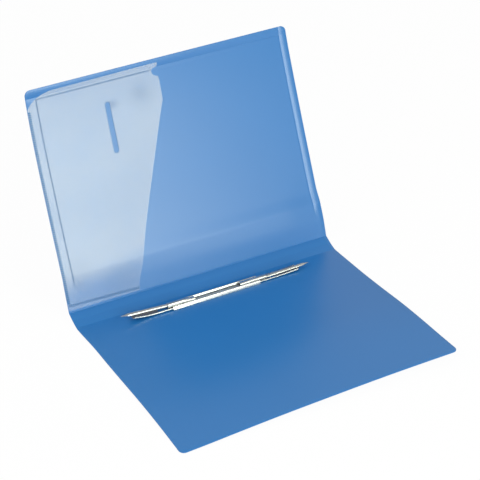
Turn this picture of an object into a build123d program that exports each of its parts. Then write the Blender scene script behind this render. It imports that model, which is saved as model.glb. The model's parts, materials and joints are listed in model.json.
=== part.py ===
from build123d import *
from math import cos, radians, sin
import os

os.makedirs("parts", exist_ok=True)

# Sheet: one blue plastic sheet with two pressed creases
spine_length = 310.0
back_cover_width = 242.0
front_cover_width = 238.7
spine_width = 20.0
sheet_thickness = 0.7
corner_radius = 6.0
crease_gap = 0.3

# Rest position: angles above the table, measured from the open flat folder
spine_angle = 23.2
front_angle = 69.5

# Pressed score lines on the inner face of the front cover
score_width = 0.8
score_depth = 0.12
score_inset = 9.0
score_foot = 32.2

# Clear pocket film, measured from the front cover's left edge and from its crease
film_thickness = 0.2
film_rise = 0.5
film_margin = 0.5
film_foot = 3.8
film_top = 234.2
film_top_width = 150.5
film_foot_width = 81.5
film_corner_cut = 14.0
film_shoulder = 38.0
film_mouth_radius = 12.0
film_nick_drop = 5.5
film_nick_depth = 6.5
film_nick_height = 7.0
weld_width = 7.0
thumb_slot_length = 54.7
thumb_slot_width = 5.6
thumb_slot_side = 87.8
thumb_slot_height = 178.9

# Steel fastener, lying along the spine on the back cover
fastener_inset = 15.4
steel_thickness = 0.5
slide_clearance = 0.1
hole_pitch = 80.0

# Prong strip
prong_width = 4.0
prong_thickness = 0.4
prong_reach = 112.0
prong_lift = 1.3
prong_shift = 1.5
prong_bend_radius = 0.3
left_prong_rise = 5.6
right_prong_rise = 1.5
prong_tip_length = 9.0
prong_tip_width = 0.8
base_width = 10.0

# Compressor rail
rail_length = 104.0
rail_width = 14.0
rail_shift = -2.5
rail_corner_radius = 1.1
rail_mouth_width = 6.4
rail_hole_length = 12.0
prong_clearance = 0.5

# Slide locks
lock_side_clearance = 0.4
lock_inner_end = 27.0
lock_outer_end = 99.0
lock_flange_height = 2.8
lock_corner_radius = 0.6
lock_travel = 25.0
tunnel_length = 32.0
tunnel_ramp = 13.0
tunnel_mouth_rise = 0.8
tunnel_top_rise = 1.6
tunnel_edge_radius = 0.35
slot_run_in = 6.0

# Rivets
rivet_spacing = 30.0
rivet_shank_diameter = 2.6
rivet_head_diameter = 5.0
rivet_head_share = 0.5

# Levels of the stacked pieces
crease_level = sheet_thickness / 2
cover_top = sheet_thickness
base_top = cover_top + prong_thickness
rail_floor_top = base_top + steel_thickness
lock_bottom = rail_floor_top + slide_clearance
lock_floor_top = lock_bottom + steel_thickness
lock_top = lock_bottom + lock_flange_height
rail_top = lock_top + slide_clearance + steel_thickness
prong_bottom = lock_floor_top + prong_lift
prong_top = prong_bottom + prong_thickness

# Places worked out from the sizes
crease_y = back_cover_width / 2
panel_start = sheet_thickness / 2 + crease_gap
fastener_y = crease_y - fastener_inset
hinge_rise = spine_width * sin(radians(spine_angle))
hinge_run = spine_width * cos(radians(spine_angle))
lock_width = rail_width - 2 * (steel_thickness + lock_side_clearance)
tunnel_inner_width = prong_width + 2 * lock_side_clearance
tunnel_width = tunnel_inner_width + 2 * steel_thickness
root_hole_width = prong_width + 2 * prong_clearance
rivet_places = [
    (prong_shift - rivet_spacing / 2, fastener_y),
    (prong_shift + rivet_spacing / 2, fastener_y),
]
bottom_head_height = sheet_thickness * rivet_head_share
top_head_height = prong_thickness * rivet_head_share

# Inner face of the front cover: x along the spine, y up the cover, z towards the reader
front_plane = Plane(
    origin=(0, crease_y + hinge_run, crease_level + hinge_rise),
    x_dir=(1, 0, 0),
    z_dir=(0, -sin(radians(front_angle)), cos(radians(front_angle))),
)
inner_face = front_plane.offset(sheet_thickness / 2)

# Cross-section plane of the spine, at its left end
spine_plane = Plane(
    origin=(-spine_length / 2, crease_y, crease_level),
    x_dir=(0, cos(radians(spine_angle)), sin(radians(spine_angle))),
    z_dir=(1, 0, 0),
)

# Back cover: flat panel on the table, with flush seats for the two rivets
with BuildPart() as back_cover:
    with BuildSketch(Plane.XY) as back_outline:
        with Locations((0, -panel_start / 2)):
            Rectangle(spine_length, back_cover_width - panel_start)
        fillet(back_outline.vertices().group_by(Axis.Y)[0], corner_radius)
    extrude(amount=sheet_thickness)
    with BuildSketch(Plane.XY):
        with Locations(*rivet_places):
            Circle(rivet_shank_diameter / 2)
    extrude(amount=sheet_thickness, mode=Mode.SUBTRACT)
    with BuildSketch(Plane.XY):
        with Locations(*rivet_places):
            Circle(rivet_head_diameter / 2)
    extrude(amount=bottom_head_height, mode=Mode.SUBTRACT)
back_cover.part.label = "back_cover"
export_step(back_cover.part, "parts/back_cover.step")

# Spine: narrow panel whose round edges are the two creases
with BuildPart() as spine:
    with BuildSketch(spine_plane):
        with Locations((spine_width / 2, 0)):
            SlotCenterToCenter(spine_width, sheet_thickness)
    extrude(amount=spine_length)
spine.part.label = "spine"
export_step(spine.part, "parts/spine.step")

# Front cover: the standing panel, with two pressed lines near its free edges
with BuildPart() as front_cover:
    with BuildSketch(front_plane.offset(-sheet_thickness / 2)) as front_outline:
        with Locations((0, (panel_start + front_cover_width) / 2)):
            Rectangle(spine_length, front_cover_width - panel_start)
        fillet(front_outline.vertices().group_by(Axis.Y)[-1], corner_radius)
    extrude(amount=sheet_thickness)
    score_height = front_cover_width - score_inset - score_foot
    score_run = spine_length - film_margin - film_top_width - score_inset
    with BuildSketch(inner_face):
        with Locations((spine_length / 2 - score_inset, score_foot + score_height / 2)):
            Rectangle(score_width, score_height)
        with Locations((spine_length / 2 - score_inset - score_run / 2, front_cover_width - score_inset)):
            Rectangle(score_run, score_width)
    extrude(amount=-score_depth, mode=Mode.SUBTRACT)
front_cover.part.label = "front_cover"
export_step(front_cover.part, "parts/front_cover.step")

# Pocket film: welded on three sides, raised from the cover between the welds, open on the slanted edge
film_left = film_margin - spine_length / 2
film_outline = [
    (film_left, film_foot),
    (film_left + film_foot_width, film_foot),
    (film_left + film_top_width, film_top - film_shoulder),
    (film_left + film_top_width, film_top),
    (film_left + film_corner_cut, film_top),
    (film_left, film_top - film_corner_cut),
]
mouth_side = film_left + film_top_width + weld_width
pocket_outline = [
    (film_left + weld_width, film_foot + weld_width),
    (mouth_side, film_foot + weld_width),
    (mouth_side, film_top - weld_width),
    (film_left + film_corner_cut, film_top - weld_width),
    (film_left + weld_width, film_top - film_corner_cut),
]
with BuildPart() as pocket_film:
    with BuildSketch(inner_face) as film_sheet:
        Polygon(*film_outline, align=None)
        shoulder = film_sheet.vertices().group_by(Axis.X)[-1].sort_by(Axis.Y)[0]
        fillet(shoulder, film_mouth_radius)
        with Locations((film_left + film_top_width, film_top - film_nick_drop)):
            SlotOverall(2 * film_nick_depth, film_nick_height, mode=Mode.SUBTRACT)
    extrude(amount=film_rise + film_thickness)
    with BuildSketch(inner_face.offset(film_thickness)):
        add(film_sheet.sketch_local)
        Polygon(*pocket_outline, align=None, mode=Mode.SUBTRACT)
    extrude(amount=film_rise, mode=Mode.SUBTRACT)
    with BuildSketch(inner_face):
        Polygon(*pocket_outline, align=None)
        offset(amount=-film_thickness, kind=Kind.INTERSECTION)
    extrude(amount=film_rise, mode=Mode.SUBTRACT)
    with BuildSketch(inner_face):
        with Locations((thumb_slot_side - spine_length / 2, thumb_slot_height)):
            SlotOverall(thumb_slot_length, thumb_slot_width, rotation=90)
    extrude(amount=film_rise + film_thickness, mode=Mode.SUBTRACT)
pocket_film.part.label = "pocket_film"
export_step(pocket_film.part, "parts/pocket_film.step")

# Prong strip: flat base under the rail, two prongs bent up through it and folded outward,
# each springing up a little past its tunnel
with BuildPart() as prong_strip:
    with BuildSketch(Plane.XY.offset(cover_top)):
        with Locations((prong_shift, fastener_y)):
            Rectangle(hole_pitch - 2 * prong_thickness, base_width)
    extrude(amount=prong_thickness)
    for side, rise in ((-1, left_prong_rise), (1, right_prong_rise)):
        root_outer = prong_shift + side * hole_pitch / 2
        root_inner = root_outer - side * prong_thickness
        foot = root_outer - side * base_width
        knee = side * (lock_inner_end + tunnel_length)
        tip = prong_shift + side * prong_reach
        profile = [
            (foot, cover_top),
            (root_outer, cover_top),
            (root_outer, prong_bottom),
            (knee, prong_bottom),
            (tip, prong_bottom + rise),
            (tip, prong_top + rise),
            (knee, prong_top),
            (root_inner, prong_top),
            (root_inner, base_top),
            (foot, base_top),
        ]
        with BuildSketch(Plane.XZ.offset(-fastener_y)) as prong_profile:
            Polygon(*profile, align=None)
            near_root = [
                corner
                for corner in prong_profile.vertices()
                if abs(corner.X - root_outer) < 2 * prong_thickness
            ]
            fillet(near_root, prong_bend_radius)
        extrude(amount=prong_width / 2, both=True)
        with BuildSketch(Plane.XY.offset(prong_bottom)):
            for edge in (-1, 1):
                point_half = prong_tip_width / 2
                Polygon(
                    (tip, fastener_y + edge * point_half),
                    (tip, fastener_y + edge * prong_width),
                    (tip - side * prong_tip_length, fastener_y + edge * prong_width),
                    (tip - side * prong_tip_length, fastener_y + edge * prong_width / 2),
                    align=None,
                )
        extrude(amount=prong_thickness + rise, mode=Mode.SUBTRACT)
    with BuildSketch(Plane.XY.offset(cover_top)):
        with Locations(*rivet_places):
            Circle(rivet_shank_diameter / 2)
    extrude(amount=prong_thickness, mode=Mode.SUBTRACT)
    with BuildSketch(Plane.XY.offset(base_top)):
        with Locations(*rivet_places):
            Circle(rivet_head_diameter / 2)
    extrude(amount=-top_head_height, mode=Mode.SUBTRACT)
prong_strip.part.label = "prong_strip"
export_step(prong_strip.part, "parts/prong_strip.step")

# Compressor rail: C-section with curled lips, holed for the two prong roots
with BuildPart() as compressor_rail:
    rail_start = rail_shift - rail_length / 2
    with BuildSketch(Plane.YZ.offset(rail_start)) as rail_profile:
        with Locations((fastener_y, (base_top + rail_top) / 2)):
            Rectangle(rail_width, rail_top - base_top)
        fillet(rail_profile.vertices(), rail_corner_radius)
        offset(amount=-steel_thickness, mode=Mode.SUBTRACT)
        with Locations((fastener_y, rail_top - steel_thickness / 2)):
            Rectangle(rail_mouth_width, 2 * steel_thickness, mode=Mode.SUBTRACT)
    extrude(amount=rail_length)
    with BuildSketch(Plane.XY.offset(base_top)):
        with Locations(
            (rail_shift - hole_pitch / 2, fastener_y),
            (rail_shift + hole_pitch / 2, fastener_y),
        ):
            SlotOverall(rail_hole_length + root_hole_width, root_hole_width)
    extrude(amount=steel_thickness, mode=Mode.SUBTRACT)
compressor_rail.part.label = "compressor_rail"
export_step(compressor_rail.part, "parts/compressor_rail.step")


# One slide lock: U-section arm with a slot for the prong root and a raised tunnel over the prong
def build_slide_lock(side):
    tunnel_end = lock_inner_end + tunnel_length
    mouth_top = rail_top + tunnel_mouth_rise - steel_thickness
    roof_top = rail_top + tunnel_top_rise - steel_thickness
    slot_start = lock_inner_end + slot_run_in
    slot_end = hole_pitch / 2 + prong_shift + lock_travel + prong_width
    with BuildPart() as lock:
        with BuildSketch(Plane.YZ.offset(side * lock_inner_end)) as arm_profile:
            with Locations((fastener_y, (lock_bottom + lock_top) / 2)):
                Rectangle(lock_width, lock_flange_height)
            fillet(arm_profile.vertices().group_by(Axis.Y)[0], lock_corner_radius)
            with Locations((fastener_y, (lock_floor_top + lock_top) / 2)):
                Rectangle(
                    lock_width - 2 * steel_thickness,
                    lock_flange_height - steel_thickness,
                    mode=Mode.SUBTRACT,
                )
        extrude(amount=side * (lock_outer_end - lock_inner_end))
        with BuildSketch(Plane.XZ.offset(-fastener_y)):
            Polygon(
                (side * lock_inner_end, lock_bottom),
                (side * lock_inner_end, mouth_top),
                (side * (lock_inner_end + tunnel_ramp), roof_top),
                (side * tunnel_end, roof_top),
                (side * tunnel_end, lock_bottom),
                align=None,
            )
        extrude(amount=tunnel_width / 2, both=True)
        top_edges = lock.edges().filter_by(GeomType.LINE).group_by(Axis.Z)[-1]
        fillet(top_edges.filter_by(Axis.X), tunnel_edge_radius)
        with BuildSketch(Plane.XZ.offset(-fastener_y)):
            Polygon(
                (side * lock_inner_end, lock_bottom),
                (side * lock_inner_end, mouth_top - steel_thickness),
                (side * (lock_inner_end + tunnel_ramp), roof_top - steel_thickness),
                (side * tunnel_end, roof_top - steel_thickness),
                (side * tunnel_end, lock_bottom),
                align=None,
            )
        extrude(amount=tunnel_inner_width / 2, both=True, mode=Mode.SUBTRACT)
        with BuildSketch(Plane.XY.offset(lock_bottom)):
            with Locations((side * (slot_start + slot_end) / 2, fastener_y)):
                SlotOverall(slot_end - slot_start, tunnel_inner_width)
        extrude(amount=steel_thickness, mode=Mode.SUBTRACT)
    return lock


left_lock = build_slide_lock(-1)
left_lock.part.label = "left_slide_lock"
export_step(left_lock.part, "parts/left_slide_lock.step")

right_lock = build_slide_lock(1)
right_lock.part.label = "right_slide_lock"
export_step(right_lock.part, "parts/right_slide_lock.step")

# Rivets: two flush rivets that hold the prong strip's base to the back cover
with BuildPart() as rivets:
    with BuildSketch(Plane.XY):
        with Locations(*rivet_places):
            Circle(rivet_head_diameter / 2)
    extrude(amount=bottom_head_height)
    with BuildSketch(Plane.XY):
        with Locations(*rivet_places):
            Circle(rivet_shank_diameter / 2)
    extrude(amount=base_top)
    with BuildSketch(Plane.XY.offset(base_top)):
        with Locations(*rivet_places):
            Circle(rivet_head_diameter / 2)
    extrude(amount=-top_head_height)
rivets.part.label = "rivets"
export_step(rivets.part, "parts/rivets.step")
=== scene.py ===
import json
from math import atan2, cos, exp, pi, radians, sin, tan

import bmesh
import bpy
from mathutils import Matrix, Vector


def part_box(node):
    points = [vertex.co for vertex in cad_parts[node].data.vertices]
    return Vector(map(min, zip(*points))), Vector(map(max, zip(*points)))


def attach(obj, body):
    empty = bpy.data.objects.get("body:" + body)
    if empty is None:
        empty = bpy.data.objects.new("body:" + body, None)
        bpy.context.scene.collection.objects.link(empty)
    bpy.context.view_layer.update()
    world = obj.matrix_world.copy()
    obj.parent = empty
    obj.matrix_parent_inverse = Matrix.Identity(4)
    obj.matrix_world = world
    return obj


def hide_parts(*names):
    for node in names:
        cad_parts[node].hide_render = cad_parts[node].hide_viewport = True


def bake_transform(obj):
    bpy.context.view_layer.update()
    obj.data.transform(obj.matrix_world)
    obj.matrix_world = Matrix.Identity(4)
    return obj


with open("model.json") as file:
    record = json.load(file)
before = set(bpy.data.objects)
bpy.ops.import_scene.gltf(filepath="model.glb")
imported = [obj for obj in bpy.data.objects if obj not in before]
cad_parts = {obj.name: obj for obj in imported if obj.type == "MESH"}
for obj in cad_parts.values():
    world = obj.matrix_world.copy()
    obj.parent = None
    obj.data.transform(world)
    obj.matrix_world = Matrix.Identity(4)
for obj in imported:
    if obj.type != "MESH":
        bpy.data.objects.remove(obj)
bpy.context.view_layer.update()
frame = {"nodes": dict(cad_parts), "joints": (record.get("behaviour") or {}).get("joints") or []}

# Camera: a long lens a little to the left of the folder's middle and well above the table,
# rolled slightly, as the folder was photographed.
camera_roll = radians(-1.64)
camera_distance = 1.7945
camera_target = Vector((0.0282, 0.10335, 0.0605))
camera_side = radians(-27.2)
camera_height = radians(31.2)
camera_back = Vector((
    sin(camera_side) * cos(camera_height),
    -cos(camera_side) * cos(camera_height),
    sin(camera_height),
))
camera_data = bpy.data.cameras.new("camera")
camera_data.sensor_width = 36
camera_data.lens = 127.5
camera = bpy.data.objects.new("camera", camera_data)
camera.location = camera_target + camera_back * camera_distance
level = camera_back.to_track_quat("Z", "Y").to_matrix()
camera.rotation_euler = (level @ Matrix.Rotation(camera_roll, 3, "Z")).to_euler()
bpy.context.scene.collection.objects.link(camera)
bpy.context.scene.camera = camera

# Back cover and lower half of the spine: one die-cut sheet of satin blue polypropylene, 0.7 mm
# thick, creased by a hot blade and left a little sprung. The sheet goes on through the second
# crease to the front cover, and is held as two pieces that meet along the middle of the spine.
MM = 0.001
SHEET = 0.7 * MM
CORNER_RADIUS = 6 * MM
EDGE_BREAK = 0.12 * MM
STRIP = 5 * MM
BACK_FOLD = 3.2 * MM
BACK_FOLD_CUTS = (-3.2, -2, -0.9, -0.45, 0, 0.45, 0.9, 2, 3.2)
BACK_GROOVE = 0.1 * MM
GROOVE_HALF = 0.9 * MM
NUDGE = 0.05 * MM
joints = {joint["name"]: joint for joint in frame["joints"]}
back_crease = Vector(joints["spine_crease"]["pos_m"])
front_crease = Vector(joints["front_crease"]["pos_m"])
back_low, back_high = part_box("back_cover")
front_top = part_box("front_cover")[1]
half_length = back_high.x
back_width = back_crease.y - back_low.y
front_width = (front_top - front_crease).yz.length
spine_run = front_crease - back_crease
spine_width = spine_run.length
spine_angle = atan2(spine_run.z, spine_run.y)
front_angle = atan2(front_top.z - front_crease.z, front_top.y - front_crease.y)

# Height of the sprung back cover above the table along its three free edges, as pairs of
# millimetres from the crease (or from the left corner) and millimetres up.
LEFT_EDGE_LIFT = (
    (-15, 0), (0, 0), (45, 0), (80, 0.3), (115, 1.3), (155, 2.4), (190, 2.2), (220, 1.1), (242, 0),
)
RIGHT_EDGE_LIFT = (
    (-15, 0), (0, 0), (35.5, 0.9), (62.5, 1.8), (95.5, 3.7), (140.5, 6.9), (175.5, 8.1),
    (205.5, 8.5), (242, 9.3),
)
FREE_EDGE_LIFT = (
    (0, 0), (30, 1.3), (60, 3.0), (110, 5.4), (170, 7.4), (220, 8.7), (265, 9.2), (310, 9.3),
)
BACK_REACH = LEFT_EDGE_LIFT[-1][0]
FREE_EDGE_LENGTH = FREE_EDGE_LIFT[-1][0]
# The left end of the spine stands out past the covers, less and less over these runs.
LEFT_END_REACH = 1.6
LEFT_END_RUN = 60 * MM
LEFT_END_ON_BACK = 50 * MM
LEFT_END_ON_FRONT = 100 * MM
SPINE_SAG = 0.5


def sprung(distance, readings):
    """How far a springy edge stands off, in a smooth line through its readings."""
    spots = [spot for spot, _ in readings]
    stands = [stand for _, stand in readings]
    distance = min(max(distance, spots[0]), spots[-1])
    k = max(i for i in range(len(spots) - 1) if spots[i] <= distance)

    def slope(i):
        low, high = max(i - 1, 0), min(i + 1, len(spots) - 1)
        return (stands[high] - stands[low]) / (spots[high] - spots[low])

    span = spots[k + 1] - spots[k]
    t = (distance - spots[k]) / span
    return (
        stands[k] * (1 + 2 * t) * (1 - t) ** 2
        + stands[k + 1] * t * t * (3 - 2 * t)
        + slope(k) * span * t * (1 - t) ** 2
        - slope(k + 1) * span * t * t * (1 - t)
    )


def ease(value):
    """A smooth step from 0 to 1."""
    value = min(max(value, 0), 1)
    return value * value * (3 - 2 * value)


def slice_at(shell, axis, spot, reach=1e-7):
    """Cuts a row of edges into a mesh at one spot along an axis, x or y."""
    place, normal = ((spot, 0, 0), (1, 0, 0)) if axis == "x" else ((0, spot, 0), (0, 1, 0))
    bmesh.ops.bisect_plane(shell, geom=shell.verts[:] + shell.edges[:] + shell.faces[:],
                           plane_co=place, plane_no=normal, dist=reach)


def cut_sheet(seam, free_edge, fold_cuts):
    """The flat sheet from the middle of the spine to a cover's free edge, in even strips."""
    sheet = bmesh.new()
    bmesh.ops.create_cube(sheet, size=1)
    bmesh.ops.scale(sheet, vec=(2 * half_length, abs(free_edge - seam), SHEET), verts=sheet.verts)
    bmesh.ops.translate(sheet, vec=(0, (free_edge + seam) / 2, 0), verts=sheet.verts)
    corners = [
        edge for edge in sheet.edges
        if abs(edge.verts[0].co.z - edge.verts[1].co.z) > SHEET / 2
        and abs(edge.verts[0].co.y - free_edge) < EDGE_BREAK
    ]
    bmesh.ops.bevel(sheet, geom=corners, offset=CORNER_RADIUS, offset_type="OFFSET",
                    affect="EDGES", segments=10, profile=0.5, material=-1)
    rim = [
        edge for edge in sheet.edges
        if abs(edge.verts[0].co.z - edge.verts[1].co.z) < SHEET / 2
        and not all(abs(vert.co.y - seam) < EDGE_BREAK for vert in edge.verts)
    ]
    bmesh.ops.bevel(sheet, geom=rim, offset=EDGE_BREAK, offset_type="OFFSET",
                    affect="EDGES", segments=2, profile=0.5, material=-1, clamp_overlap=True)
    across = [x * STRIP for x in range(-int(half_length / STRIP) + 1, int(half_length / STRIP))]
    low, high = sorted((seam, free_edge))
    along = [low + (y + 1) * STRIP for y in range(int((high - low) / STRIP))]
    along = [y for y in along if min(abs(y - cut) for cut in fold_cuts) > STRIP / 4]
    for x in across:
        slice_at(sheet, "x", x)
    for y in along + list(fold_cuts):
        slice_at(sheet, "y", y)
    return sheet


def folded(along, angle, reach):
    """Where a line that turns smoothly by an angle within reach of its crease has got to."""
    if along <= -reach:
        return Vector((along, 0))
    radius = reach / tan(angle / 2)
    turned = angle * (min(along, reach) + reach) / (2 * reach)
    point = Vector((radius * sin(turned) - reach, radius * (1 - cos(turned))))
    if along > reach:
        point += Vector((cos(angle), sin(angle))) * (along - reach)
    return point


def stand_off(surface, x, along, height):
    """The point at a height over a bent surface, square to it."""
    here = surface(x, along)
    tilt = (surface(x + NUDGE, along) - here).cross(surface(x, along + NUDGE) - here)
    return here + tilt.normalized() * height


def bend(sheet, surface, groove):
    """Lays a flat thick sheet on a bent surface and presses its creases into the inner side."""
    for vert in sheet.verts:
        x, along, depth = vert.co
        if depth > 0:
            depth -= groove(x, along)
        vert.co = stand_off(surface, x, along, depth)


def finish_sheet(sheet, name, material, angle):
    """Makes a mesh a smooth piece of the scene, with sharp edges from an angle in degrees."""
    bmesh.ops.recalc_face_normals(sheet, faces=sheet.faces)
    for face in sheet.faces:
        face.smooth = True
    mesh = bpy.data.meshes.new(name)
    sheet.to_mesh(mesh)
    sheet.free()
    mesh.set_sharp_from_angle(angle=radians(angle))
    mesh.materials.append(material)
    piece = bpy.data.objects.new(name, mesh)
    bpy.context.scene.collection.objects.link(piece)
    return piece


def new_material(name):
    """A new material, its node tree and its shader."""
    material = bpy.data.materials.new(name)
    material.use_nodes = True
    return material, material.node_tree, material.node_tree.nodes["Principled BSDF"]


def noise(tree, scale, detail=2):
    """Cloudy noise that is fixed to the piece; a scale for each axis draws it out to streaks."""
    source = tree.nodes.new("ShaderNodeTexCoord").outputs["Object"]
    if isinstance(scale, tuple):
        stretch = tree.nodes.new("ShaderNodeMapping")
        stretch.inputs["Scale"].default_value = scale
        tree.links.new(source, stretch.inputs["Vector"])
        source, scale = stretch.outputs["Vector"], 1
    cloud = tree.nodes.new("ShaderNodeTexNoise")
    cloud.inputs["Scale"].default_value = scale
    cloud.inputs["Detail"].default_value = detail
    tree.links.new(source, cloud.inputs["Vector"])
    return cloud.outputs["Fac"]


def mixed(tree, share, low, high):
    """A colour between two others."""
    tint = tree.nodes.new("ShaderNodeMix")
    tint.data_type = "RGBA"
    tint.inputs[6].default_value = (*low, 1)
    tint.inputs[7].default_value = (*high, 1)
    tree.links.new(share, tint.inputs["Factor"])
    return tint.outputs[2]


def bumped(tree, height, strength, depth):
    """A normal that follows a height."""
    bump = tree.nodes.new("ShaderNodeBump")
    bump.inputs["Strength"].default_value = strength
    bump.inputs["Distance"].default_value = depth
    tree.links.new(height, bump.inputs["Height"])
    return bump.outputs["Normal"]


def satin_blue():
    """Blue polypropylene with a fine satin grain and faint clouds."""
    material, tree, shader = new_material("satin_blue_polypropylene")
    shader.inputs["IOR"].default_value = 1.5
    shader.inputs["Roughness"].default_value = 0.34
    shader.inputs["Specular IOR Level"].default_value = 0.9
    blue = mixed(tree, noise(tree, 14, detail=3), (0.0135, 0.162, 0.455), (0.0165, 0.172, 0.478))
    tree.links.new(blue, shader.inputs["Base Color"])
    grain = bumped(tree, noise(tree, 2200), strength=0.05, depth=0.03 * MM)
    tree.links.new(grain, shader.inputs["Normal"])
    return material


def end_reach(x, away):
    """How far a place is moved out towards the left, less the further it is from the spine."""
    share = ease(1 - (x + half_length) / LEFT_END_RUN) * ease(1 - away)
    return Vector((-LEFT_END_REACH * MM * share, 0, 0))


def back_surface(x, along):
    """Middle of the sheet, by its place along the spine and its distance past the lower crease."""
    across = (x + half_length) / (2 * half_length)
    away = max(-along, 0) / MM
    left = sprung(away, LEFT_EDGE_LIFT)
    right = sprung(away, RIGHT_EDGE_LIFT)
    free = sprung(across * FREE_EDGE_LENGTH, FREE_EDGE_LIFT) - FREE_EDGE_LIFT[-1][1] * across
    lift = left * (1 - across) + right * across + free * (away / BACK_REACH) ** 2
    line = folded(along, spine_angle, BACK_FOLD)
    sag = SPINE_SAG * MM * sin(pi * min(max(along, 0) / spine_width, 1)) ** 2
    place = Vector((
        x,
        back_crease.y + line.x + sag * sin(spine_angle),
        back_crease.z + line.y + lift * MM - sag * cos(spine_angle),
    ))
    return place + end_reach(x, max(-along, 0) / LEFT_END_ON_BACK)


def back_groove(x, along):
    """Depth of the hot blade's mark along the lower crease."""
    return BACK_GROOVE * ease(1 - abs(along) / GROOVE_HALF)


blue_sheet = satin_blue()
back_bm = cut_sheet(spine_width / 2, -back_width, [cut * MM for cut in BACK_FOLD_CUTS])
bend(back_bm, back_surface, back_groove)
back_sheet = finish_sheet(back_bm, "back_sheet", blue_sheet, angle=40)
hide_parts("back_cover")
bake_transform(back_sheet)

# Front cover and upper half of the spine: the same sheet, folded sharply at the crease and open
# for the reader. Two lines are scored near its top and right edges, and it is sprung as well.
FRONT_FOLD = 0.9 * MM
FRONT_FOLD_CUTS = (-0.9, -0.45, 0, 0.45, 0.9, 2.5, 35, 37.7, 39.2, 40.7, 43)
FRONT_GROOVE = 0.22 * MM
SCORE_DEPTH = 0.16 * MM
SCORE_WIDTH = 0.9 * MM
SCORE_INSET = 9 * MM
SCORE_FOOT = 32.2 * MM
TWIST = radians(3.5)
# Beyond the two scores the sheet tilts on towards the reader.
RIGHT_BAND = 146
TOP_BAND = 229.7
BAND_TILT = 0.08
BAND_RUN = 12 * MM
# The free edge is cut shorter at the left, and a soft second fold runs above the crease.
TOP_CUT = 1.3
KINK = 38.2
KINK_STAND = 0.8
KINK_FALL = 30
KINK_ENDS = 7
# How far the front cover's two ends stand off flat towards the reader, as pairs of millimetres
# up from the crease and millimetres out.
LEFT_EDGE_STAND = (
    (-15, 0), (0, 0), (22, 0.3), (38.2, 0.4), (40.7, 0.15), (52, -1.1), (65, -2.5), (78, -3.9),
    (97, -4.8), (129, -5.3), (152, -5.6), (177, -5.2), (194, -4.6), (209, -3.5), (222, -2.4),
    (238.7, 0),
)
RIGHT_EDGE_STAND = (
    (-15, 0), (0, 0), (10, 0.9), (22, 1.8), (37.7, 1.3), (40.2, 0.9), (54, -1.9), (66, -2.2),
    (88, -2.4), (122, -2.65), (156, -2.6), (189, -2.35), (212, -1.9), (223, -1.4), (238.7, -0.5),
)
FRONT_REACH = LEFT_EDGE_STAND[-1][0]


def front_surface(x, along):
    """Middle of the sheet, by its place along the spine and its distance past the upper crease."""
    across = (x + half_length) / (2 * half_length)
    up = max(along, 0) / MM
    left = sprung(up, LEFT_EDGE_STAND)
    right = sprung(up, RIGHT_EDGE_STAND)
    stand = left * (1 - across) + right * across
    stand += BAND_TILT * max(x / MM - RIGHT_BAND, 0) * ease((along - SCORE_FOOT) / BAND_RUN)
    stand += BAND_TILT * max(up - TOP_BAND, 0)
    inner = ease(across * KINK_ENDS) * ease((1 - across) * KINK_ENDS)
    kinked = up / KINK if up < KINK else ease((KINK + KINK_FALL - up) / KINK_FALL)
    stand += KINK_STAND * inner * kinked
    if along > 0:
        along -= TOP_CUT * MM * (1 - across) * (up / FRONT_REACH) ** 3
    line = folded(along, front_angle - spine_angle, FRONT_FOLD)
    sag = SPINE_SAG * MM * sin(pi * min(max(along + spine_width, 0) / spine_width, 1)) ** 2
    place = Vector((0, line.x, line.y - (sag if along < 0 else 0)))
    place.rotate(Matrix.Rotation(spine_angle, 3, "X"))
    if along > 0:
        place.rotate(Matrix.Rotation(TWIST * (0.5 - across), 3, "X"))
    reader = Vector((0, -sin(front_angle), cos(front_angle)))
    return (
        front_crease + Vector((x, 0, 0)) + place + reader * stand * MM
        + end_reach(x, max(along, 0) / LEFT_END_ON_FRONT)
    )


def front_groove(x, along):
    """Depth of the blade's mark along the upper crease, and of the two scores."""
    groove = FRONT_GROOVE * ease(1 - abs(along) / GROOVE_HALF)
    score = 0
    if along > SCORE_FOOT:
        score = ease(1 - abs(x - half_length + SCORE_INSET) / (SCORE_WIDTH / 2))
    if x < half_length - SCORE_INSET:
        score = max(score, ease(1 - abs(along - front_width + SCORE_INSET) / (SCORE_WIDTH / 2)))
    return groove + SCORE_DEPTH * score


score_cuts = [cut * SCORE_WIDTH / 4 for cut in (-2, -1, 0, 1, 2)]
front_bm = cut_sheet(
    -spine_width / 2, front_width,
    [cut * MM for cut in FRONT_FOLD_CUTS] + [front_width - SCORE_INSET + cut for cut in score_cuts],
)
for cut in score_cuts:
    slice_at(front_bm, "x", half_length - SCORE_INSET + cut)
bend(front_bm, front_surface, front_groove)
front_sheet = finish_sheet(front_bm, "front_sheet", blue_sheet, angle=40)
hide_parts("front_cover", "spine")
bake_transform(front_sheet)

# Pocket: clear polypropylene film, welded to the front cover along its left and bottom edges by a
# knurled tool, formed with a shallow step inside the welds, with a slot and an open right side.
FILM = 0.2 * MM
FILM_GAP = 0.12
FILM_STEP = 0.45
DEEPEST_DENT = -0.6
FILM_CELL = 4 * MM
FILM_COLUMNS = 38
FILM_ROWS = 58
FOLD_COLUMNS = (13, 14, 15, 16.5, 17.5, 18.5, 73.5, 75, 77, 79, 81.5)
FOLD_ROWS = (6.5, 7.7, 9, 13.3, 14.5, 17.5, 18.5, 22, 26)
POCKET_FOOT = 2.2
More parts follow.
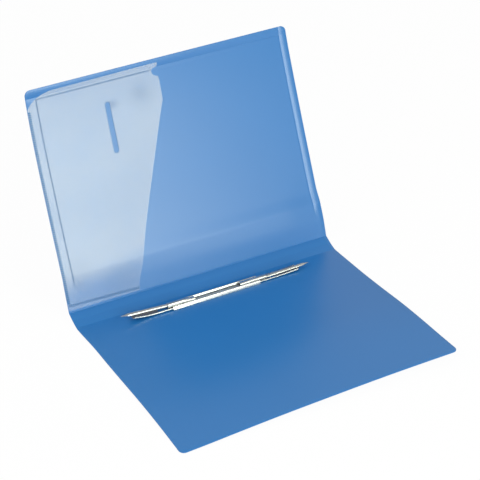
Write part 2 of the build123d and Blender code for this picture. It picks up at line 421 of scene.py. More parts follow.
# The film's outline: millimetres from the cover's left edge and up from the pocket's foot.
FILM_OUTLINE = (
    (0.4, 0.4), (80.4, 0.4), (82.0, 10.5), (148.8, 187.4), (150.4, 191.0), (150.8, 196),
    (150.9, 213), (150.2, 217.4), (146.6, 218.9), (144.0, 220.9), (143.2, 223.4),
    (144.0, 225.9), (146.4, 227.2), (150.2, 227.9), (151.1, 230.2), (151.2, 232.3),
    (28.0, 231.4), (20.0, 229.8), (14.0, 227.8), (9.0, 225.3), (4.5, 221.6), (0.4, 216.5),
)
SLOT_SIDE = 87.8
SLOT_FOOT = 149.3
SLOT_TOP = 204.0
SLOT_WIDTH = 5.6
SLOT_RIM = 0.8
STEP_LEFT = 11.3
STEP_TOP = 225.5
STEP_FOOT = 15.0
STEP_RUN = 1.2
# At the foot the step is a slope. The film is tight at its edges and looser over these runs.
FOOT_SLOPE_BELOW = 8
FOOT_SLOPE_RUN = 12
LOOSE_LEFT = 14
LOOSE_TOP = 12
LOOSE_FOOT = 9
# Soft pillows and dents of the loose film: millimetres from the left, up, reach and height.
PILLOWS = (
    (58, 44, 34, 0.5), (88, 30, 12, 0.7), (30, 64, 30, 0.3), (70, 110, 45, 0.5),
    (129, 204, 13, -0.45), (96, 200, 7, -0.35), (100, 160, 26, 0.3), (45, 160, 38, 0.3),
    (16, 26, 6, 0.8), (22, 22, 5, -0.5), (60, 17, 6, -0.35), (75, 14, 4, 0.6), (81, 9, 3, 0.7),
    (40, 20, 8, 0.4), (93, 176, 4, 0.25),
)


def ramp(value, start, run):
    """A smooth step from 0 to 1 over a run."""
    return ease((value - start) / run)


def soft_spots(u, v, spots):
    """The sum of round soft spots, each given by its place, reach and height."""
    return sum(
        height * exp(-((u - x) ** 2 + (v - y) ** 2) / reach ** 2) for x, y, reach, height in spots
    )


def film_height(u, v):
    """Height of the film over the sheet: flat at the welds, a step inside them, soft pillows."""
    raised = (
        ramp(u, STEP_LEFT - STEP_RUN / 2, STEP_RUN)
        * (1 - ramp(v, STEP_TOP - STEP_RUN / 2, STEP_RUN))
        * ramp(v, STEP_FOOT - FOOT_SLOPE_BELOW, FOOT_SLOPE_RUN)
    )
    loose = soft_spots(u, v, PILLOWS)
    mask = (
        ramp(u, STEP_LEFT, LOOSE_LEFT)
        * (1 - ramp(v, STEP_TOP - LOOSE_TOP, LOOSE_TOP))
        * ramp(v, STEP_FOOT - LOOSE_FOOT, LOOSE_FOOT)
    )
    return FILM_GAP + FILM_STEP * raised + max(loose, DEEPEST_DENT) * mask


def slot_rim(shell, start, end, width):
    """The rim of a round-ended slot that runs along X, from start to end."""
    points = bmesh.ops.create_circle(shell, cap_ends=False, segments=24, radius=width / 2)["verts"]
    for point in points:
        point.co.x += end - width / 2 if point.co.x > 0 else start + width / 2
    return points


film_bm = bmesh.new()
rim = [film_bm.verts.new((u * MM, v * MM, 0)) for u, v in FILM_OUTLINE]
for i in range(len(rim)):
    film_bm.edges.new((rim[i - 1], rim[i]))
thumb_slot = slot_rim(film_bm, SLOT_FOOT * MM, SLOT_TOP * MM, SLOT_WIDTH * MM)
bmesh.ops.rotate(film_bm, cent=(0, 0, 0), matrix=Matrix.Rotation(pi / 2, 3, "Z"),
                 verts=thumb_slot)
bmesh.ops.translate(film_bm, vec=(SLOT_SIDE * MM, 0, 0), verts=thumb_slot)
bmesh.ops.triangle_fill(film_bm, use_beauty=True, use_dissolve=False, edges=film_bm.edges[:],
                        normal=(0, 0, 1))
slot_left = SLOT_SIDE - SLOT_WIDTH / 2
slot_right = SLOT_SIDE + SLOT_WIDTH / 2
slot_cuts = (slot_left - SLOT_RIM, slot_right + SLOT_RIM, slot_right + 2 * SLOT_RIM)
step_cuts = [cut * 0.35 for cut in (-3, -1, 0, 1, 3)]
cuts = [("x", u * FILM_CELL) for u in range(1, FILM_COLUMNS)]
cuts += [("y", v * FILM_CELL) for v in range(1, FILM_ROWS)]
cuts += [("x", u * MM) for u in FOLD_COLUMNS]
cuts += [("y", v * MM) for v in FOLD_ROWS]
cuts += [("x", (STEP_LEFT + cut) * MM) for cut in step_cuts]
cuts += [("y", (STEP_TOP + cut) * MM) for cut in step_cuts]
cuts += [("x", u * MM) for u in slot_cuts]
cuts += [("y", v * MM) for v in (SLOT_FOOT - SLOT_RIM, SLOT_TOP + SLOT_RIM)]
for axis, spot in cuts:
    slice_at(film_bm, axis, spot, reach=1e-6)
bmesh.ops.remove_doubles(film_bm, verts=film_bm.verts, dist=1e-6)
bmesh.ops.recalc_face_normals(film_bm, faces=film_bm.faces)
if sum(face.normal.z for face in film_bm.faces) < 0:
    bmesh.ops.reverse_faces(film_bm, faces=film_bm.faces)
top_faces = film_bm.faces[:]
walls = bmesh.ops.extrude_face_region(film_bm, geom=top_faces, use_keep_orig=True)
for element in walls["geom"]:
    if isinstance(element, bmesh.types.BMVert):
        element.co.z += FILM
bmesh.ops.reverse_faces(film_bm, faces=top_faces)
# Creases by their two ends, and spots of painted shade by their place, reach and strength, in
# millimetres.
CREASES = (
    ((11.8, 38.6), (11.9, 25.6)), ((11.9, 25.6), (15.4, 18.0)), ((15.3, 34.5), (17.1, 20.8)),
    ((15.4, 18.0), (19.0, 16.2)),
)
CREASE_REACH = 0.8
SHADE_SPOTS = (
    (129, 204, 10, 0.3), (95, 200.5, 4, 0.45), (60, 20, 16, 0.12), (78, 24, 10, 0.12),
    (20, 40, 14, 0.12),
)
LINE_HALF = 0.2
LINE_FADE = 0.6
LINE_OVERLAP = 0.5
LEFT_LINE_FADE = 20
TOP_LINE_END = 146
TOP_LINE_FADE = 8
TIGHT_FOOT = 10
TIGHT_SLOPE = 0.18
TIGHT_RUN = 26


def painted_film_shade(u, v):
    """How strongly painted shade darkens the film along the step, around the slot's rim, on soft
    spots and along creases.
    """
    left = (1 - ramp(abs(u - STEP_LEFT), LINE_HALF, LINE_FADE)) * ramp(v, STEP_FOOT, LEFT_LINE_FADE)
    left *= v < STEP_TOP + LINE_OVERLAP
    top = (1 - ramp(abs(v - STEP_TOP), LINE_HALF, LINE_FADE)) * (u > STEP_LEFT - LINE_OVERLAP)
    top *= ramp(TOP_LINE_END - u, 0, TOP_LINE_FADE)
    half = SLOT_WIDTH / 2
    nearest = min(max(v, SLOT_FOOT + half), SLOT_TOP - half)
    from_slot = Vector((u - SLOT_SIDE, v - nearest)).length - half
    rim = 1 - ramp(from_slot, 0, SLOT_RIM)
    crease = 0
    for (x0, y0), (x1, y1) in CREASES:
        run = Vector((x1 - x0, y1 - y0))
        way = Vector((u - x0, v - y0))
        share = min(max(way.dot(run) / run.length_squared, 0), 1)
        crease = max(crease, CREASE_REACH - (way - run * share).length)
    return max(left, top, rim, soft_spots(u, v, SHADE_SPOTS), crease)


def sheerness(u, v):
    """How far the film lies tight on the sheet and shows its blue, most at its foot."""
    return 1 - ramp(v, TIGHT_FOOT + TIGHT_SLOPE * u, TIGHT_RUN)


# Painted shade for the step, the slot's rim, the creases and the soft spots is stored on the film's
# points.
film_shade_layer = film_bm.verts.layers.float.new("painted_film_shade")
sheer = film_bm.verts.layers.float.new("sheerness")
for vert in film_bm.verts:
    u, v, depth = vert.co
    vert[film_shade_layer] = painted_film_shade(u / MM, v / MM)
    vert[sheer] = sheerness(u / MM, v / MM)
    height = SHEET / 2 + film_height(u / MM, v / MM) * MM + depth
    vert.co = stand_off(front_surface, u - half_length, v + POCKET_FOOT * MM, height)


def spread(tree, value, low, high, source=(0, 1)):
    """Stretches a value from its source range to a new one."""
    stretch = tree.nodes.new("ShaderNodeMapRange")
    ends = zip(("From Min", "From Max", "To Min", "To Max"), (*source, low, high))
    for socket, end in ends:
        stretch.inputs[socket].default_value = end
    tree.links.new(value, stretch.inputs["Value"])
    return stretch.outputs["Result"]


def worked_out(tree, operation, *values):
    """The result of one operation on sockets and plain numbers."""
    maths = tree.nodes.new("ShaderNodeMath")
    maths.operation = operation
    for socket, value in zip(maths.inputs, values):
        if isinstance(value, (int, float)):
            socket.default_value = value
        else:
            tree.links.new(value, socket)
    return maths.outputs[0]


def painted(tree, layer):
    """A value painted on the mesh's points."""
    attribute = tree.nodes.new("ShaderNodeAttribute")
    attribute.attribute_name = layer
    return attribute.outputs["Fac"]


def clear_film():
    """Clear film: a thin haze, thinner where the film lies tight, with dark blue-grey painted shade
    along its lines.
    """
    material, tree, shader = new_material("clear_pocket_film")
    shader.inputs["IOR"].default_value = 1.5
    haze = noise(tree, 16, detail=3)
    haze_range = (0.3, 0.7)
    roughness = spread(tree, haze, 0.2, 0.3, haze_range)
    tree.links.new(roughness, shader.inputs["Roughness"])
    left_over = worked_out(tree, "MULTIPLY_ADD", painted(tree, "sheerness"), -0.6, 1)
    milky = worked_out(tree, "MULTIPLY", spread(tree, haze, 0.19, 0.25, haze_range), left_over)
    tree.links.new(milky, shader.inputs["Alpha"])
    # Painted shade: the film's colour goes from near white to dark blue-grey where the painted
    # shade layer is high.
    tint = mixed(tree, painted(tree, "painted_film_shade"), (0.90, 0.97, 1.0), (0.20, 0.26, 0.34))
    tree.links.new(tint, shader.inputs["Base Color"])
    return material


pocket_film = finish_sheet(film_bm, "pocket_film_sheet", clear_film(), angle=50)
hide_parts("pocket_film")
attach(pocket_film, "front")

# Weld: the knurled tool leaves a row of short pressed bars, where the film is fused into the blue
# sheet, down the left side and along the foot of the pocket.
WELD_PITCH = 2.2
BAR_LENGTH = 2.6
BAR_WIDTH = 1.3
BAR_DEPTH = 0.1
BAR_BREAK = 0.04
BAR_STAND = 0.02
SIDE_BARS = 94
SIDE_BAR_LEFT = 1.8
SIDE_BAR_START = 8.5
FOOT_BARS = 36
FOOT_BAR_WIDTH = 1.0
FOOT_BAR_START = 2.4
FOOT_BAR_UP = 5.6
FOOT_BAR_DROP = 0.065
weld_bm = bmesh.new()


def pressed_bar(u, v, along_u, along_v):
    """One pressed bar, still flat, at a place on the film."""
    bar = bmesh.ops.create_cube(weld_bm, size=1)["verts"]
    bmesh.ops.scale(weld_bm, vec=(along_u * MM, along_v * MM, BAR_DEPTH * MM), verts=bar)
    bmesh.ops.translate(weld_bm, vec=(u * MM, v * MM, 0), verts=bar)


for k in range(SIDE_BARS):
    pressed_bar(SIDE_BAR_LEFT, SIDE_BAR_START + k * WELD_PITCH, BAR_LENGTH, BAR_WIDTH)
for k in range(FOOT_BARS):
    pressed_bar(FOOT_BAR_START + k * WELD_PITCH, FOOT_BAR_UP - FOOT_BAR_DROP * k,
                FOOT_BAR_WIDTH, BAR_LENGTH)
bar_tops = [edge for edge in weld_bm.edges if all(vert.co.z > 0 for vert in edge.verts)]
bmesh.ops.bevel(weld_bm, geom=bar_tops, offset=BAR_BREAK * MM, offset_type="OFFSET",
                affect="EDGES", segments=1, profile=0.5, material=-1)
for vert in weld_bm.verts:
    u, v, depth = vert.co
    film_top = film_height(u / MM, v / MM) * MM + FILM + BAR_STAND * MM
    vert.co = stand_off(front_surface, u - half_length, v + POCKET_FOOT * MM,
                        SHEET / 2 + film_top + depth)


def fused_blue():
    """The blue of the sheet where the tool has fused the film into it, dull and mottled."""
    material, tree, shader = new_material("fused_weld_blue")
    shader.inputs["Roughness"].default_value = 0.6
    shader.inputs["Specular IOR Level"].default_value = 0.25
    blue = mixed(tree, noise(tree, 900), (0.020, 0.125, 0.310), (0.045, 0.180, 0.400))
    tree.links.new(blue, shader.inputs["Base Color"])
    return material


weld_bars = finish_sheet(weld_bm, "pocket_weld", fused_blue(), angle=40)
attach(weld_bars, "front")

# Compressor rail: spring-steel strip, roll-formed to a C-section whose walls lean in and whose lips
# curl over and down, then nickel-plated. Two prongs come up through the slots in its floor.
STEEL = 0.5 * MM
RAIL_MOUTH = 8.4 * MM
RAIL_WALL_LEAN = 1.6 * MM
RAIL_LIP_DROP = 1.8 * MM
RAIL_LIP_LEAN = 0.9 * MM
RAIL_LIP_RADIUS = 0.65 * MM
RAIL_CURL_RADIUS = 0.5 * MM
RAIL_HEEL_RADIUS = 0.7 * MM
ROOT_HOLE = 17 * MM
ROOT_HOLE_WIDTH = 5 * MM
ROOT_PITCH = 80 * MM
STEEL_EDGE = 0.1 * MM
CUT_EDGE_ANGLE = radians(60)
CLOSE = EDGE_BREAK / 10


def flat_blank(low, high, level, slots):
    """A flat strip blank between two corners, with round-ended slots (start, end, width) in it."""
    blank = bmesh.new()
    bmesh.ops.create_grid(blank, x_segments=1, y_segments=1, size=0.5)
    bmesh.ops.delete(blank, geom=blank.faces[:], context="FACES_ONLY")
    bmesh.ops.scale(blank, vec=(high.x - low.x, high.y - low.y, 1), verts=blank.verts)
    bmesh.ops.translate(blank, vec=((low.x + high.x) / 2, (low.y + high.y) / 2, level),
                        verts=blank.verts)
    for start, end, width in slots:
        points = slot_rim(blank, start, end, width)
        bmesh.ops.translate(blank, vec=(0, (low.y + high.y) / 2, level), verts=points)
    bmesh.ops.triangle_fill(blank, use_beauty=True, use_dissolve=False, edges=blank.edges[:],
                            normal=(0, 0, 1))
    return blank


def fold_on(blank, edges, move):
    """Folds a new flange on from the given edges, and gives the flange's far edges."""
    grown = bmesh.ops.extrude_edge_only(blank, edges=edges)["geom"]
    points = [element for element in grown if isinstance(element, bmesh.types.BMVert)]
    bmesh.ops.translate(blank, vec=move, verts=points)
    return [edge for edge in grown if isinstance(edge, bmesh.types.BMEdge)
            and all(vert in points for vert in edge.verts)]


def long_edges(blank, y, z=None):
    """The edges that run along the spine at a given depth, and height if one is given."""
    return [edge for edge in blank.edges
            if all(abs(vert.co.y - y) < CLOSE for vert in edge.verts)
            and (z is None or all(abs(vert.co.z - z) < CLOSE for vert in edge.verts))]


def round_off(blank, edges, radius, steps):
    """Rounds edges to a radius, or breaks them with a single step."""
    bmesh.ops.bevel(blank, geom=edges, offset=radius, offset_type="OFFSET", affect="EDGES",
                    segments=steps, profile=0.5, material=-1, clamp_overlap=True)


def thicken(blank, low):
    """Gives a folded blank its steel thickness on the inner side, and breaks its cut edges."""
    bmesh.ops.recalc_face_normals(blank, faces=blank.faces)
    floor_face = min(blank.faces, key=lambda face: face.calc_center_median().z)
    if floor_face.normal.z > 0:
        bmesh.ops.reverse_faces(blank, faces=blank.faces)
    bmesh.ops.solidify(blank, geom=blank.faces[:], thickness=STEEL)
    if min(vert.co.z for vert in blank.verts) < low - STEEL / 2:
        raise ValueError("the steel grew outwards")
    bmesh.ops.recalc_face_normals(blank, faces=blank.faces)
    cut = [edge for edge in blank.edges
           if edge.is_manifold and edge.calc_face_angle() > CUT_EDGE_ANGLE]
    round_off(blank, cut, STEEL_EDGE, 1)


def bright_nickel():
    """Nickel plate: bright, with fine drawing lines along the strip and faint warm clouds."""
    material, tree, shader = new_material("bright_nickel")
    shader.inputs["Metallic"].default_value = 1
    drawn = noise(tree, (60, 1400, 1400))
    tree.links.new(spread(tree, drawn, 0.2, 0.34), shader.inputs["Roughness"])
    lines = bumped(tree, drawn, strength=0.15, depth=0.02 * MM)
    tree.links.new(lines, shader.inputs["Normal"])
    plate = mixed(tree, noise(tree, 90), (0.60, 0.595, 0.57), (0.72, 0.73, 0.72))
    tree.links.new(plate, shader.inputs["Base Color"])
    return material


def shaded_channel_steel(name, colour):
    """A channel's floor: a darker colour that is painted shade, rough, with streaks along the
    strip.
    """
    material, tree, shader = new_material(name)
    shader.inputs["Metallic"].default_value = 0.8
    shader.inputs["Roughness"].default_value = 0.5
    dark, light = [[share * part for part in colour] for share in (0.75, 1.25)]
    streaks = mixed(tree, noise(tree, (90, 700, 700)), dark, light)
    tree.links.new(streaks, shader.inputs["Base Color"])
    return material


def paint_floor_shade(channel, level):
    """Gives the upward faces at a channel's floor the second material, which carries painted shade.
    """
    channel.normal_update()
    for face in channel.faces:
        if face.normal.z > 0.9 and abs(face.calc_center_median().z - level) < STEEL / 4:
            face.material_index = 1


nickel = bright_nickel()
rail_low, rail_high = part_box("compressor_rail")
rail_middle = (rail_low + rail_high) / 2
root_slots = [
    (middle - ROOT_HOLE / 2, middle + ROOT_HOLE / 2, ROOT_HOLE_WIDTH)
    for middle in (rail_middle.x - ROOT_PITCH / 2, rail_middle.x + ROOT_PITCH / 2)
]
rail_bm = flat_blank(rail_low, rail_high, rail_low.z, root_slots)
for side in (-1, 1):
    edge_y = rail_high.y if side > 0 else rail_low.y
    mouth_y = rail_middle.y + side * RAIL_MOUTH / 2
    wall_lean = side * RAIL_WALL_LEAN
    wall = fold_on(rail_bm, long_edges(rail_bm, edge_y), (0, -wall_lean, rail_high.z - rail_low.z))
    lip = fold_on(rail_bm, wall, (0, mouth_y - edge_y + wall_lean, 0))
    fold_on(rail_bm, lip, (0, -side * RAIL_LIP_LEAN, -RAIL_LIP_DROP))
for places, level, radius, steps in (
    ((rail_low.y, rail_high.y), rail_low.z, RAIL_HEEL_RADIUS, 4),
    ((rail_low.y + RAIL_WALL_LEAN, rail_high.y - RAIL_WALL_LEAN), rail_high.z, RAIL_LIP_RADIUS, 6),
    ([rail_middle.y + side * RAIL_MOUTH / 2 for side in (-1, 1)], rail_high.z,
     RAIL_CURL_RADIUS, 4),
):
    corner = [edge for y in places for edge in long_edges(rail_bm, y, level)]
    round_off(rail_bm, corner, radius, steps)
thicken(rail_bm, rail_low.z)
# The rail's floor is given blue-grey painted shade and a painted reflection of the blue sheet.
paint_floor_shade(rail_bm, rail_low.z + STEEL)
rail = finish_sheet(rail_bm, "formed_rail", nickel, angle=32)
rail.data.materials.append(shaded_channel_steel("rail_floor_painted_shade", (0.62, 0.68, 0.74)))
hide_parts("compressor_rail")
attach(rail, "back")

# Slide locks: two pressed steel arms that run inside the rail. Each has low hemmed flanges, a slot
# for the prong's root, a tongue at its outer end, and an arched tunnel that slides over the prong.
ARM_WIDTH = 10.6 * MM
FLANGE_HEIGHT = 1.9 * MM
FLANGE_HEM = 1.1 * MM
FLANGE_RADIUS = 0.75 * MM
TONGUE = 2.4 * MM
TONGUE_SHARE = 0.4
TUNNEL_WIDTH = 5.8 * MM
TUNNEL_LENGTH = 32 * MM
TUNNEL_ARCH = 2.1 * MM
SLOT_RUN_IN = 6 * MM
SLOT_END = 70.5 * MM
LOCK_SLOT_WIDTH = 4.8 * MM
TUNNEL_CUTS = (0.15, 0.3, 0.45, 0.7)
TUNNEL_RISE = 0.5
# Beyond the rail the arm springs up a little from the cover, in millimetres along the spine.
SPRING_START = 70
SPRING_RUN = 29
SPRING_CUTS = range(64, 101, 4)
# The arms' floors are given dark brown painted shade, where the prongs and flanges shadow them.
arm_floor_painted_shade = shaded_channel_steel("arm_floor_painted_shade", (0.30, 0.26, 0.24))


def join_in(whole, part):
    """Moves the faces of one mesh into another."""
    spare = bpy.data.meshes.new("spare")
    part.to_mesh(spare)
    part.free()
    whole.from_mesh(spare)
    bpy.data.meshes.remove(spare)


def form_lock(node, side, name, body, arm_end, end_lift, mouth_lift):
    """One slide lock, to the side given, its outer end and its tunnel's mouth sprung up."""
    low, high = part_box(node)
    middle = (low + high) / 2
    inner = (low if side > 0 else high).x
    arm_low = Vector((min(inner, side * arm_end), middle.y - ARM_WIDTH / 2, low.z))
    arm_high = Vector((max(inner, side * arm_end), middle.y + ARM_WIDTH / 2, low.z))
    ends = sorted((inner + side * SLOT_RUN_IN, side * SLOT_END))
    arm = flat_blank(arm_low, arm_high, low.z, [(ends[0], ends[1], LOCK_SLOT_WIDTH)])
    end_edge = [edge for edge in arm.edges
                if all(abs(vert.co.x - side * arm_end) < CLOSE for vert in edge.verts)]
    walls = [long_edges(arm, y) for y in (arm_low.y, arm_high.y)]
    fold_on(arm, end_edge, (side * TONGUE, 0, 0))
    for vert in arm.verts:
        if side * vert.co.x > arm_end + TONGUE / 2:
            vert.co.y = middle.y + (vert.co.y - middle.y) * TONGUE_SHARE
    for wall, inwards in zip(walls, (1, -1)):
        top = fold_on(arm, wall, (0, 0, FLANGE_HEIGHT))
        fold_on(arm, top, (0, inwards * FLANGE_HEM, 0))
    round_off(arm, [edge for y in (arm_low.y, arm_high.y) for z in (low.z, low.z + FLANGE_HEIGHT)
                    for edge in long_edges(arm, y, z)], FLANGE_RADIUS, 4)
    thicken(arm, low.z)
    paint_floor_shade(arm, low.z + STEEL)
    tunnel = bmesh.new()
    bmesh.ops.create_grid(tunnel, x_segments=1, y_segments=1, size=0.5)
    bmesh.ops.scale(tunnel, vec=(TUNNEL_LENGTH, TUNNEL_WIDTH, 1), verts=tunnel.verts)
    bmesh.ops.translate(tunnel, vec=(inner + side * TUNNEL_LENGTH / 2, middle.y, high.z),
                        verts=tunnel.verts)
    tunnel_sides = (middle.y - TUNNEL_WIDTH / 2, middle.y + TUNNEL_WIDTH / 2)
    for y in tunnel_sides:
        fold_on(tunnel, long_edges(tunnel, y), (0, 0, low.z + STEEL / 2 - high.z))
    round_off(tunnel, [edge for y in tunnel_sides for edge in long_edges(tunnel, y, high.z)],
              TUNNEL_ARCH, 6)
    for share in TUNNEL_CUTS:
        slice_at(tunnel, "x", inner + side * TUNNEL_LENGTH * share)
    bmesh.ops.recalc_face_normals(tunnel, faces=tunnel.faces)
    roof = max(tunnel.faces, key=lambda face: face.calc_center_median().z)
    if roof.normal.z < 0:
        bmesh.ops.reverse_faces(tunnel, faces=tunnel.faces)
    bmesh.ops.solidify(tunnel, geom=tunnel.faces[:], thickness=STEEL)
    for vert in tunnel.verts:
        run = abs(vert.co.x - inner) / TUNNEL_LENGTH
        share = max(vert.co.z - low.z - 2 * STEEL, 0) / (high.z - low.z - 2 * STEEL)
        vert.co.z += share * (mouth_lift * ease(run / TUNNEL_RISE))
    bmesh.ops.recalc_face_normals(tunnel, faces=tunnel.faces)
    join_in(arm, tunnel)
    for spot in SPRING_CUTS:
        slice_at(arm, "x", side * spot * MM)
    for vert in arm.verts:
        vert.co.z += end_lift * max((side * vert.co.x / MM - SPRING_START) / SPRING_RUN, 0) ** 2
    lock = finish_sheet(arm, name, nickel, angle=32)
    lock.data.materials.append(arm_floor_painted_shade)
    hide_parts(node)
    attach(lock, body)


form_lock("left_slide_lock", -1, "left_lock_pressing", "left_lock",
          arm_end=99 * MM, end_lift=3.1 * MM, mouth_lift=1.6 * MM)
form_lock("right_slide_lock", 1, "right_lock_pressing", "right_lock",
          arm_end=96.9 * MM, end_lift=1.4 * MM, mouth_lift=0.4 * MM)

# Pronged strip: one blanked steel strip under the rail. Its two long prongs are bent up through the
# rail, folded outwards through the tunnels, and keep a little spring beyond them.
PRONG = 0.4 * MM
PRONG_WIDTH = 4 * MM
PRONG_CROWN = 1.15 * MM
PRONG_CROWN_IN_TUNNEL = 0.35
PRONG_TILT = 0.3
PRONG_POINT = 9 * MM
PRONG_TIP_SHARE = 0.25
PRONG_LEVEL = 3.5 * MM
STRIP_SHIFT = 1.5 * MM
STRIP_CORNER = 1.5 * MM
BASE_HALF = 39.6 * MM
ROOT_INSET = 2 * MM
# Beyond this distance from the folder's middle a prong is out of its tunnel and springs up more.
KNEE = 59 * MM
ARCH_LEAD = 4 * MM
ARCH_RUN = 6 * MM
# Distances from a prong's root: the joggle up through the rail, the spring and the crown.
JOGGLE_START = 2.5 * MM
JOGGLE_RUN = 3 * MM
LEVEL_START = 5 * MM
CROWN_START = 6 * MM
CROWN_RUN = 6 * MM
POINT_CURVE = 0.8
# Rows of edges, in millimetres from a prong's root and back from its tip.
ROOT_CUTS = [2 + k * 0.5 for k in range(9)] + [10 + k * 4 for k in range(13)]
POINT_CUTS = (9, 7, 5, 3, 2, 1)
strip_low, strip_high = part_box("prong_strip")
strip_middle = Vector((STRIP_SHIFT, (strip_low.y + strip_high.y) / 2, strip_low.z))
strip_bm = bmesh.new()
bmesh.ops.create_cube(strip_bm, size=1)
bmesh.ops.scale(strip_bm, vec=(2 * BASE_HALF, strip_high.y - strip_low.y, PRONG),
                verts=strip_bm.verts)
round_off(strip_bm, [edge for edge in strip_bm.edges
                     if abs(edge.verts[0].co.z - edge.verts[1].co.z) > PRONG / 2],
          STRIP_CORNER, 4)
bmesh.ops.translate(strip_bm, vec=strip_middle + Vector((0, 0, PRONG / 2)), verts=strip_bm.verts)
for side, tip_x, knee_rise, tip_rise in (
    (-1, strip_low.x - 2.0 * MM, 2.2 * MM, 5.6 * MM),
    (1, strip_high.x - 1.2 * MM, 0.3 * MM, 1.5 * MM),
):
    root = strip_middle.x + side * (BASE_HALF - ROOT_INSET)
    run = abs(tip_x - root)
    prong = bmesh.new()
    bmesh.ops.create_cube(prong, size=1)
    bmesh.ops.scale(prong, vec=(run, PRONG_WIDTH, PRONG), verts=prong.verts)
    bmesh.ops.translate(prong, vec=(side * run / 2, 0, PRONG / 2), verts=prong.verts)
    for spot in ROOT_CUTS + [run / MM - cut for cut in POINT_CUTS]:
        slice_at(prong, "x", side * spot * MM)
    for row in range(-3, 4):
        slice_at(prong, "y", row * PRONG_WIDTH / 8)
    for vert in prong.verts:
        x, y, z = vert.co
        out, from_middle = abs(x), abs(root + x)
        point = ease((out - run + PRONG_POINT) / PRONG_POINT) ** POINT_CURVE
        arch = PRONG_CROWN_IN_TUNNEL + (1 - PRONG_CROWN_IN_TUNNEL) * ease(
            (from_middle - KNEE + ARCH_LEAD) / ARCH_RUN)
        crown = (PRONG_CROWN * arch * (1 - (2 * y / PRONG_WIDTH) ** 2)
                 * ramp(out, CROWN_START, CROWN_RUN) * (1 - point))
        joggle = (PRONG_LEVEL - strip_low.z) * ramp(out, JOGGLE_START, JOGGLE_RUN)
        beyond = (from_middle - KNEE) / (abs(tip_x) - KNEE)
        spring = (knee_rise * ramp(out, LEVEL_START, KNEE - abs(root) - LEVEL_START)
                  + (tip_rise - knee_rise) * max(beyond, 0))
        tilt = PRONG_TILT * y * max(arch - PRONG_CROWN_IN_TUNNEL, 0) * (1 - point)
        vert.co = (root + x, strip_middle.y + y * (1 - (1 - PRONG_TIP_SHARE) * point),
                   strip_low.z + z + crown + joggle + spring + tilt)
    join_in(strip_bm, prong)
prongs = finish_sheet(strip_bm, "pronged_strip", nickel, angle=40)
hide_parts("prong_strip")
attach(prongs, "back")

# Rivets: two flush steel rivets hold the pronged strip's base to the back cover, one head let into
# the strip and the other into the sheet.
frame["nodes"]["rivets"].data.materials.clear()
frame["nodes"]["rivets"].data.materials.append(nickel)

# Floor and sky: a wide white sweep, white where it is seen and shaded where the folder stands,
# under a sky that is dim at the horizon, brightest a third of the way up and dim again overhead.
FLOOR_HALF = 8
FLOOR_GLOW = 0.96
SKY_GREYS = ((0, 0.2), (0.45, 0.72), (0.75, 0.66), (0.92, 0.35), (1, 0.33))
floor_bm = bmesh.new()
bmesh.ops.create_grid(floor_bm, x_segments=1, y_segments=1, size=FLOOR_HALF)
floor_mesh = bpy.data.meshes.new("floor")
floor_bm.to_mesh(floor_mesh)
floor_bm.free()
floor = bpy.data.objects.new("floor", floor_mesh)
bpy.context.scene.collection.objects.link(floor)
paper, paper_tree, matte = new_material("white_sweep")
matte.inputs["Base Color"].default_value = (0.95, 0.95, 0.95, 1)
matte.inputs["Roughness"].default_value = 1
matte.inputs["Specular IOR Level"].default_value = 0
glow = paper_tree.nodes.new("ShaderNodeEmission")
glow.inputs["Strength"].default_value = 1


def seen_rays(tree):
    """One where a ray comes from the camera, a reflection or through something clear."""
    ray = tree.nodes.new("ShaderNodeLightPath").outputs
    either = worked_out(tree, "MAXIMUM", ray["Is Camera Ray"], ray["Is Glossy Ray"])
    return worked_out(tree, "MAXIMUM", either, ray["Is Transmission Ray"])


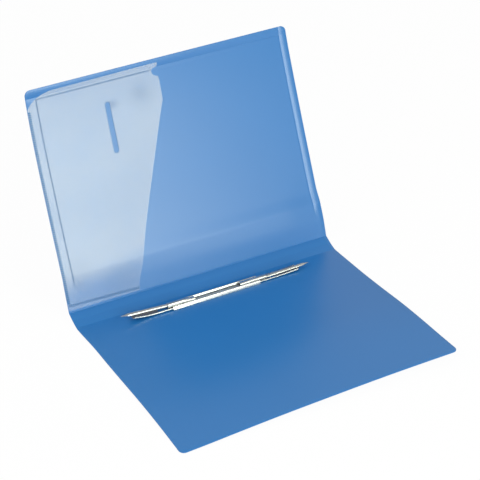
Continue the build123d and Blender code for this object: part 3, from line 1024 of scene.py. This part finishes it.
cover = paper_tree.nodes.new("ShaderNodeMixShader")
glow_share = worked_out(paper_tree, "MULTIPLY", seen_rays(paper_tree), FLOOR_GLOW)
paper_tree.links.new(glow_share, cover.inputs["Fac"])
paper_tree.links.new(matte.outputs[0], cover.inputs[1])
paper_tree.links.new(glow.outputs[0], cover.inputs[2])
paper_tree.links.new(cover.outputs[0], paper_tree.nodes["Material Output"].inputs["Surface"])
floor_mesh.materials.append(paper)

world = bpy.data.worlds.new("studio")
bpy.context.scene.world = world
world.use_nodes = True
sky_nodes = world.node_tree.nodes
sky_links = world.node_tree.links
sky = sky_nodes["Background"]
facing = sky_nodes.new("ShaderNodeTexCoord")
split = sky_nodes.new("ShaderNodeSeparateXYZ")
sky_links.new(facing.outputs["Generated"], split.inputs[0])
shade = sky_nodes.new("ShaderNodeValToRGB")
for stop, (height, grey) in zip(shade.color_ramp.elements, (SKY_GREYS[0], SKY_GREYS[-1])):
    stop.position = height
    stop.color = (grey, grey, grey, 1)
for height, grey in SKY_GREYS[1:-1]:
    shade.color_ramp.elements.new(height).color = (grey, grey, grey, 1)
sky_links.new(split.outputs["Z"], shade.inputs["Fac"])
sky_links.new(shade.outputs["Color"], sky.inputs["Color"])
sky.inputs["Strength"].default_value = 1

# Lamps: a tall soft box in front on the right, whose glow lies on the standing cover, a wider and
# dimmer one beside it, and another dim one high up on the left.
def soft_box(name, place, target, width, height, brightness, colour=(1, 1, 1)):
    """A rectangular soft box of an even brightness, aimed at a spot."""
    lamp_data = bpy.data.lights.new(name, "AREA")
    lamp_data.shape = "RECTANGLE"
    lamp_data.size = width
    lamp_data.size_y = height
    lamp_data.energy = brightness * pi * width * height
    lamp_data.color = colour
    lamp = bpy.data.objects.new(name, lamp_data)
    lamp.location = place
    lamp.rotation_euler = (Vector(place) - Vector(target)).to_track_quat("Z", "Y").to_euler()
    lamp.visible_camera = False
    bpy.context.scene.collection.objects.link(lamp)


soft_box("front_soft_box", place=(0.4, -1.5, 0.7), target=(0, 0.1, 0.1),
         width=0.6, height=1.2, brightness=6.3, colour=(0.93, 1.0, 0.87))
soft_box("fill_soft_box", place=(-0.45, -1.5, 0.8), target=(0, 0.1, 0.1),
         width=1.3, height=1.4, brightness=1.4)
soft_box("left_soft_box", place=(-1.4, 0.1, 1.4), target=(0, 0, 0),
         width=1.4, height=1.4, brightness=1.4)
bpy.context.scene.view_settings.view_transform = "Standard"
